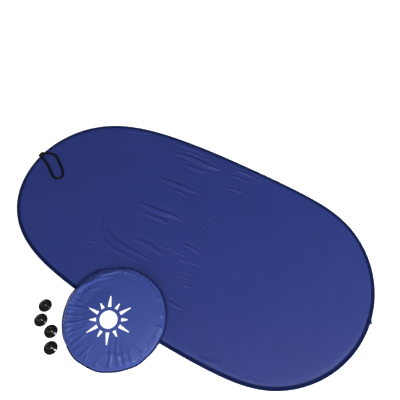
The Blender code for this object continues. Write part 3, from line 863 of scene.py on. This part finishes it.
def panel_sheet(name, height, creases, way, ripple, fine_spacing, look, give):
    """Both halves of a cloth of the panel. way is 1 where its face is up, and -1 where it is down."""
    turns = np.concatenate([half_turns("right", 0.0034)[0], half_turns("left", 0.0034)[0][1:-1]])
    outline = edge(turns) + CLOTH_INSET * inward(turns)
    front, back = outline[0], outline[np.argmin(abs(turns - np.pi / 2))]
    seam_y = np.linspace(front[1], back[1], 160)[1:-1]
    seam = np.stack([np.zeros(len(seam_y)), seam_y], -1)
    low, high = outline.min(0), outline.max(0)
    fine, coarse = staggered(low, high, fine_spacing), staggered(low, high, COARSE)
    in_fine = (fine[:, 0] > FINE_FROM) & (fine[:, 0] < FINE_TO)
    in_coarse = (coarse[:, 0] < FINE_FROM - 0.002) | (coarse[:, 0] > FINE_TO + 0.002)
    fill = np.concatenate([fine[in_fine], coarse[in_coarse]])
    bend = np.arange(FOLD_X - 0.0030, FOLD_X + BEND_PAST + 0.0045, BEND_COLUMN)
    fill = fill[(np.abs(fill[:, 0]) < bend[0] - 0.0018) | (np.abs(fill[:, 0]) > bend[-1] + 0.0018)]
    columns = np.meshgrid(np.concatenate([-bend, bend]), np.arange(low[1], high[1], BEND_ROW))
    fill = np.concatenate([fill, np.stack(columns, -1).reshape(-1, 2)])
    fill = fill[abs(fill[:, 0]) > 0.6 * fine_spacing]
    _, nearest = rim_distance(fill, outline)
    inside = ((fill - outline[nearest]) * inward(turns)[nearest]).sum(1) > 0.0018
    places, faces = triangulated(outline, [([front, *seam, back], False)], fill[inside])
    lift = layer_heights(places, creases, outline, ripple, give)
    if way < 0:
        lift = np.minimum(lift, height - FLOOR_GAP)
    points = in_kit(places, height + way * lift)
    normals = corner_normals(points, faces)
    if way < 0:
        points[:, 2] += CLOTH
    middle = points[faces][:, :, 0].mean(1)
    halves = []
    for side, chosen in (("right", middle > PANEL_X), ("left", middle < PANEL_X)):
        made = thick_sheet(f"{name}_{side}", points, faces[chosen], normals, places, [look])
        across_fold(made)
        halves.append(made)
    return halves


def panel_cloths(materials):
    """The blue face and the silver backing, in halves."""
    folds = CREASES + scattered(*FINE_FOLDS)
    blue = panel_sheet("blue_face", FACE_TOP, folds, 1, 0.00022, FINE, materials["blue"], 0.0004)
    dents = BACKING_CREASES + scattered(*BACKING_FOLDS)
    silver = panel_sheet("silver_face", BACKING_BOTTOM, dents, -1, 0.00012, MEDIUM, materials["silver"], 0.0)
    for halves, slot, replaced in (
        (blue, "blue_cloth", ("face_cloth_right", "face_cloth_left", "face_cloth_centre")),
        (silver, "silver_cloth", ("backing_right", "backing_left", "backing_centre")),
    ):
        for made, nodes in zip(halves, (replaced[0::2], replaced[1::2])):
            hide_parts(*nodes)


# ---------------------------------------------------------------- the keeper loop
def keeper_loop(look):
    """The braided elastic loop: its ends wrap the tack, and it lies on the cloth as a slim drop."""
    route = smooth_path([in_kit(p[:2], p[2]) for p in STRAP_ROUTE], 12)
    axis = np.array([PANEL_X + TACK_X, 0.0, TACK_Z])
    radius = route[0][2] - TACK_Z
    wrap = np.radians(np.linspace(212, 93, 14))
    arc = np.stack([radius * np.cos(wrap), 0 * wrap, radius * np.sin(wrap)], -1)
    start, end = arc + axis + [0, route[0][1], 0], arc + axis + [0, route[-1][1], 0]
    line = evenly(np.concatenate([start, route, end[::-1]]), BRAID_STEP)
    along = unit(np.gradient(line, axis=0))
    up = np.tile([0.0, 0.0, 1.0], (len(line), 1))
    behind = line[:, 0] < axis[0] + 0.0005
    up[behind] = line[behind] - axis
    up[behind, 1] = 0.0
    up = unit(up - (up * along).sum(1, keepdims=True) * along)
    side = np.cross(along, up)
    w, t = STRAP_WIDTH / 2, STRAP_THICKNESS / 2
    across = np.concatenate([np.linspace(w, -w, 13)[1:-1], [-w], np.linspace(-w, w, 13)[1:-1], [w]])
    face = np.concatenate([np.ones(11), [0.0], -np.ones(11), [0.0]])
    round_off = np.sqrt(np.clip(1 - (np.abs(across) / w) ** 6, 0, 1))
    run = np.arange(len(line)) * BRAID_STEP
    rib = np.abs(np.sin(np.pi * (run[:, None] / 0.0019 + np.abs(across)[None] / 0.0014)))
    height = face[None] * (t * round_off[None] + BRAID_RIB * (rib - 0.6))
    taper = np.clip(np.minimum(run, run[-1] - run) / 0.002, 0.35, 1)[:, None]
    rings = line[:, None] + side[:, None] * across[None, :, None] + up[:, None] * (height * taper)[..., None]
    made = lofted("keeper_loop_elastic", rings, look)
    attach(made, "keeper_loop")
    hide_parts("keeper_loop")


def coil(name, line, middle, axis, strand, sides, look):
    """A thread wound along a line, round an axis through the middle."""
    heading = unit(np.gradient(line, axis=0))
    outwards = line - middle
    outwards[:, axis] = 0
    outwards = unit(outwards - (outwards * heading).sum(1, keepdims=True) * heading)
    rays = spokes(outwards, np.cross(heading, outwards), full_turn(sides))
    return lofted(name, line[:, None] + strand * rays, look)


def loop_tack(look):
    """The rolled tack that holds the loop's ends, and the thread wound close round it."""
    core, strand, half = 0.0021, 0.00033, TACK_LENGTH / 2
    middle = in_kit((TACK_X, TACK_Y), TACK_Z)
    share = np.linspace(0, 1, 300)
    turns = share * 2 * np.pi * 21
    radius = core * np.sqrt(np.clip(1 - (2 * share - 1) ** 8, 0.05, 1)) + strand * 0.8
    winding = [radius * np.cos(turns), (share - 0.5) * 2 * (half - 0.0006), radius * np.sin(turns)]
    whipping = coil("loop_tack_whipping", middle + np.stack(winding, -1), middle, 1, strand, 8, look)
    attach(whipping, "left_wing")
    stations = np.array([-1.0, -0.97, -0.85, 0.85, 0.97, 1.0])
    girth = np.array([0.3, 0.75, 1.0, 1.0, 0.75, 0.3])[:, None, None] * core * circle(full_turn(20))
    along = np.broadcast_to((stations * half)[:, None], girth.shape[:2])
    tack = lofted("loop_tack_core", middle + np.stack([girth[..., 0], along, girth[..., 1]], -1), look)
    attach(tack, "left_wing")
    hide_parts("loop_tack")


def knot(look):
    """The binding of black thread round both arms of the loop, where they leave the tack."""
    share = np.linspace(0, 1, 620)
    turns = share * 2 * np.pi * 9
    wide = 0.0078 + 0.0005 * np.sin(turns * 0.31 + 0.4) + 0.0004 * np.sin(turns * 0.83)
    tall = 0.00125 + 0.0001 * np.sin(turns * 0.47 + 1.0)
    flat = np.sign(circle(turns)) * np.abs(circle(turns)) ** 0.6
    middle = in_kit(KNOT_PLACE, KNOT_Z)
    along = (share - 0.5) * KNOT_LENGTH + 0.0009 * np.sin(share * 9.0) * 0.4
    line = middle + np.stack([along, wide * flat[:, 0], tall * flat[:, 1]], -1)
    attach(coil("keeper_loop_whipping", line, middle, 0, 0.00042, 7, look), "keeper_loop")


# ---------------------------------------------------------------- the pouch
def rim_radius(angles):
    """The pouch's rim: round, with a slight corner here and there."""
    radius = np.full(np.shape(angles), POUCH_CLOTH_RADIUS * 0.989)
    for corner in RIM_CORNERS:
        away = (angles - math.radians(corner) + np.pi) % (2 * np.pi) - np.pi
        radius = radius + POUCH_CLOTH_RADIUS * 0.012 * np.exp(-((away / math.radians(7)) ** 2))
    return radius


def mouth_share(angles):
    """1 in the middle of the pouch's mouth, 0 where it is sewn."""
    away = np.abs(angles % (2 * np.pi) - np.pi)
    share = np.clip((MOUTH_HALF_ANGLE - away) / math.radians(26), 0, 1)
    return smooth_step(share)


def crown(share):
    """The pouch's height over its back, at a share of its radius."""
    return np.interp(share**2, [c[0] ** 2 for c in POUCH_CROWN], [c[1] for c in POUCH_CROWN])


def in_pouch(points):
    seat = Matrix.Translation((PANEL_X + POUCH_PLACE[0], PANEL_Y + POUCH_PLACE[1], POUCH_Z))
    seat = np.array(seat @ Matrix.Rotation(POUCH_TILT, 4, "X"))
    return np.asarray(points) @ seat[:3, :3].T + seat[:3, 3]


def sun_outlines():
    """The printed sun: a disc and its rays, as closed lines in the pouch's own frame."""
    lines = [SUN_DISC * circle(full_turn(40))]
    for n in range(SUN_RAYS):
        turn = 2 * np.pi * n / SUN_RAYS
        far = RAY_SHORT if n % 2 else RAY_LONG
        out, side = np.array([math.cos(turn), math.sin(turn)]), np.array([-math.sin(turn), math.cos(turn)])
        left = []
        for s in np.linspace(0, 1, 9):
            half_width = RAY_FOOT + s * (RAY_TIP - RAY_FOOT)
            left.append(out * (RAY_INNER + s * (far - RAY_INNER)) + side * half_width)
        right = [p - 2 * side * (p @ side) for p in reversed(left)]
        lines.append(np.array(left + right))
    return [line + np.array(SUN_PLACE) for line in lines]


def in_sun(places):
    """Whether each place is inside the printed sun."""
    p = places - np.array(SUN_PLACE)
    r, turn = np.linalg.norm(p, axis=1), np.arctan2(p[:, 1], p[:, 0])
    number = np.round(turn * SUN_RAYS / (2 * np.pi)).astype(int)
    off = turn - number * 2 * np.pi / SUN_RAYS
    out, side = r * np.cos(off), np.abs(r * np.sin(off))
    far = np.where(number % 2 == 0, RAY_LONG, RAY_SHORT)
    s = (out - RAY_INNER) / (far - RAY_INNER)
    ray = (s > 0) & (s < 1) & (side < RAY_FOOT + s * (RAY_TIP - RAY_FOOT))
    return (r < SUN_DISC) | ray


def pouch_folds():
    """Every fold of the pouch's front, as creases in its own frame."""
    found = []
    for degrees, reach, half_width, height in PUCKERS:
        turn = math.radians(degrees)
        turns = turn + np.array([0.0, 0.02, 0.06]) * math.sin(3.1 * degrees)
        shares = np.array([1.0, 1 - reach / 2, 1 - reach]) * POUCH_CLOTH_RADIUS
        found.append((half_width, height, shares[:, None] * circle(turns)))
    for first, last, near, far, half_width, height in RIM_FOLDS:
        turns = np.radians(np.linspace(first, last, 6))
        shares = np.linspace(near, far, 6) * POUCH_CLOTH_RADIUS
        found.append((half_width, height, shares[:, None] * circle(turns)))
    return found


def gathered(points, faces, rim, contents):
    """Settle a cloth that is cut larger than its rim over its contents."""
    cloth = piece("cloth_at_work", points * WORK_SCALE, faces, [])
    held = cloth.vertex_groups.new(name="rim")
    held.add([int(i) for i in rim], 1.0, "REPLACE")
    block = piece("contents_at_work", contents[0] * WORK_SCALE, contents[1], [])
    hit = block.modifiers.new("collision", "COLLISION")
    block.collision.thickness_outer = 0.006
    block.collision.cloth_friction = 8
    work = cloth.modifiers.new("cloth", "CLOTH")
    settings = work.settings
    settings.quality = 7
    settings.mass = 0.12
    settings.tension_stiffness = settings.compression_stiffness = 30
    settings.shear_stiffness = 12
    settings.bending_stiffness = 0.06
    settings.tension_damping = settings.compression_damping = 8
    settings.bending_damping = 0.5
    settings.air_damping = 2
    settings.vertex_group_mass = "rim"
    settings.shrink_min = -POUCH_SLACK
    work.collision_settings.distance_min = 0.006
    work.collision_settings.collision_quality = 3
    scene = bpy.context.scene
    for span in (scene, work.point_cache):
        span.frame_start, span.frame_end = 1, GATHER_FRAMES
    for number in range(1, GATHER_FRAMES + 1):
        scene.frame_set(number)
    shown = cloth.evaluated_get(bpy.context.evaluated_depsgraph_get()).data
    settled = np.zeros(len(points) * 3)
    shown.vertices.foreach_get("co", settled)
    settled = settled.reshape(-1, 3) / WORK_SCALE
    block.modifiers.remove(hit)
    for old in (cloth, block):
        bpy.data.objects.remove(old, do_unlink=True)
    scene.frame_set(1)
    return settled


def pouch_disc(count, spacing, margin):
    """The outline of the pouch's cloths, and points well inside it."""
    angles = full_turn(count)
    fill = staggered((-POUCH_REACH, -POUCH_REACH), (POUCH_REACH, POUCH_REACH), spacing)
    limit = rim_radius(np.arctan2(fill[:, 1], fill[:, 0])) - margin
    return rim_radius(angles)[:, None] * circle(angles), fill[np.linalg.norm(fill, axis=1) < limit]


def pouch_sheet(name, points, faces, places, looks_used, marked=None):
    """A cloth of the pouch, from points in the pouch's own frame."""
    normals = corner_normals(points, faces) @ np.array(Matrix.Rotation(POUCH_TILT, 3, "X")).T
    made = thick_sheet(name, in_pouch(points), faces, normals, places, looks_used, marked)
    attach(made, "pouch")
    return made


def pouch_front(materials):
    """The gathered front with its printed sun."""
    outline, fill = pouch_disc(330, POUCH_SPACING, 0.0012)
    sun = sun_outlines()
    near, _ = rim_distance(fill, np.concatenate(sun))
    fill = fill[near > 0.0011]
    places, faces = triangulated(outline, [(line, True) for line in sun], fill)
    around = np.arctan2(places[:, 1], places[:, 0])
    share = np.linalg.norm(places, axis=1) / rim_radius(around)
    lip = mouth_share(around)
    rim = np.flatnonzero(share > 0.9985)
    dome = crown(np.minimum(share, 1.0))
    low = POUCH_BACK_Z + 0.0009 + lip * MOUTH_LIFT
    body = np.maximum(dome, low + (1 - np.minimum(share, 1)) * 0.12)
    height = np.minimum(body, dome + lip * MOUTH_LIFT)
    height[rim] = low[rim]
    pucker = sum(crease(places, *one) for one in pouch_folds())
    pucker *= np.clip((1 - share) / 0.05, 0, 1)
    points = np.column_stack([places, height + pucker])
    contents = (np.column_stack([places * 0.985, dome - 0.0016]), faces)
    loose = np.clip((share - 0.30) / 0.30, 0, 1)[:, None]
    points = points + loose * (gathered(points, faces, rim, contents) - points)
    top = dome + 0.0040 + lip * 0.003
    points[:, 2] = np.clip(points[:, 2], POUCH_BACK_Z + 0.0006, top)
    marked = in_sun(places[faces].mean(1)).astype(int)
    inks = [materials["pouch"], materials["ink"]]
    made = pouch_sheet("pouch_front_cloth", points, faces, places, inks, marked)
    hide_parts("pouch_front")


def pouch_back(materials):
    """The flat back, slightly puckered at its sewn rim."""
    outline, fill = pouch_disc(240, BACK_SPACING, 0.002)
    places, faces = triangulated(outline, [], fill)
    around = np.arctan2(places[:, 1], places[:, 0])
    share = np.linalg.norm(places, axis=1) / POUCH_CLOTH_RADIUS
    wave = wander(around * 0.12, [(0.0210, 0.5, 0.2), (0.0377, 0.7, 1.0)])
    lift = 0.00022 * wave * np.clip((share - 0.6) / 0.4, 0, 1) * np.clip((1 - share) / 0.05, 0, 1)
    lift = np.maximum(lift, -0.0001)
    points = np.column_stack([places, POUCH_BACK_Z + 0.0004 + lift])
    made = pouch_sheet("pouch_back_cloth", points, faces, places, [materials["pouch"]])
    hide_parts("pouch_back")


def rim_tube(name, angles, radius, middle_z, wide, tall, look):
    """A tube along the pouch's rim, from its half width and half height at each angle."""
    section = circle(full_turn(12))[None]
    reach = radius[:, None] + wide[:, None] * section[..., 0]
    heights = np.maximum(middle_z[:, None] + tall[:, None] * section[..., 1], 0.0001)
    rings = np.concatenate([reach[..., None] * circle(angles)[:, None], heights[..., None]], -1)
    made = lofted(name, in_pouch(rings), look)
    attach(made, "pouch")
    return made


def pouch_edges(materials):
    """The bound rim where front and back are sewn together, and the two hems of the mouth."""
    sewn = math.pi - MOUTH_HALF_ANGLE
    angles = np.linspace(-sewn - 0.05, sewn + 0.05, 420)
    run = angles * POUCH_RADIUS
    fat = 1 + wander(run, [(0.0310, 0.06, 0.2), (0.0117, 0.07, 1.0), (0.0071, 0.04, 2.2)])
    fat = fat * np.clip((sewn + 0.05 - np.abs(angles)) / 0.05, 0.15, 1)
    radius = rim_radius(angles) + POUCH_PIPING * 0.9
    middle_z = 0.0004 + POUCH_PIPING + wander(run, [(0.047, 0.00012, 0.6)])
    sizes = (POUCH_PIPING * 1.15 * fat, POUCH_PIPING * 0.85 * fat)
    piping = rim_tube("pouch_bound_rim", angles, radius, middle_z, *sizes, materials["hem"])
    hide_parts("pouch_piping")

    angles = np.linspace(sewn - 0.02, 2 * np.pi - sewn + 0.02, 160)
    fade = np.clip(np.minimum(angles - angles[0], angles[-1] - angles) / 0.05, 0.2, 1)
    radius = rim_radius(angles) - 0.0004
    for name, lifted, tall in (("front", 1.0, 0.0008), ("back", 0.0, 0.0005)):
        middle_z = POUCH_BACK_Z + 0.0006 + lifted * (0.0005 + mouth_share(angles) * MOUTH_LIFT)
        sizes = (0.0019 * fade, tall * fade)
        rim_tube(f"pouch_mouth_hem_{name}", angles, radius, middle_z, *sizes, materials["hem"])


# ---------------------------------------------------------------- the suction cups
def suction_cups(look):
    """Four moulded cups, each turned from one smooth section."""
    section = smooth_path(CUP_SECTION, 3)
    section[:, 0] = np.maximum(section[:, 0], 0.0)
    for number in range(1, 5):
        lo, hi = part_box(f"suction_cup_{number}")
        middle = np.array([(lo.x + hi.x) / 2, (lo.y + hi.y) / 2, lo.z])
        inner = section[1:-1]
        flat = inner[:, None, :1] * circle(full_turn(CUP_STEPS))[None]
        rings = np.concatenate([flat, np.broadcast_to(inner[:, None, 1:], (*flat.shape[:2], 1))], -1)
        points = np.concatenate([rings.reshape(-1, 3), [(0, 0, section[0, 1]), (0, 0, section[-1, 1])]])
        faces = []
        last = len(inner) - 1
        for j in range(CUP_STEPS):
            k = (j + 1) % CUP_STEPS
            faces.append((len(points) - 2, j, k))
            faces.append((last * CUP_STEPS + k, last * CUP_STEPS + j, len(points) - 1))
            for i in range(0, last * CUP_STEPS, CUP_STEPS):
                faces.append((i + j, i + CUP_STEPS + j, i + CUP_STEPS + k, i + k))
        made = piece(f"cup_{number}_moulding", points + middle, faces, [look])
        face_outwards(made)
        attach(made, f"suction_cup_{number}")
        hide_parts(f"suction_cup_{number}")


# ---------------------------------------------------------------- the whole kit
def build():
    """Everything, in the frame."""
    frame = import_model()
    camera()
    studio()
    materials = looks()
    for make in (keeper_loop, knot, loop_tack):
        make(materials["elastic"])
    for side in ("left", "right"):
        tape = binding(side, materials["tape"])
        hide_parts(f"binding_{side}", "binding_front" if side == "left" else "binding_rear")
        binding_stitches(side, materials["thread"])
        wire = hoop_wire(side, materials["steel"])
        if side == "left":
            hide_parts("hoop_wire_left", "hoop_wire_front")
        else:
            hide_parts("hoop_wire_right_front", "hoop_wire_right_rear", "hoop_wire_rear")
    end_tab(materials["tape"], materials["thread"])
    panel_cloths(materials)
    pouch_back(materials)
    pouch_front(materials)
    pouch_edges(materials)
    suction_cups(materials["vinyl"])
    ferrule = frame["nodes"]["hoop_ferrule"]
    ferrule.data.materials.clear()
    ferrule.data.materials.append(materials["steel"])


build()
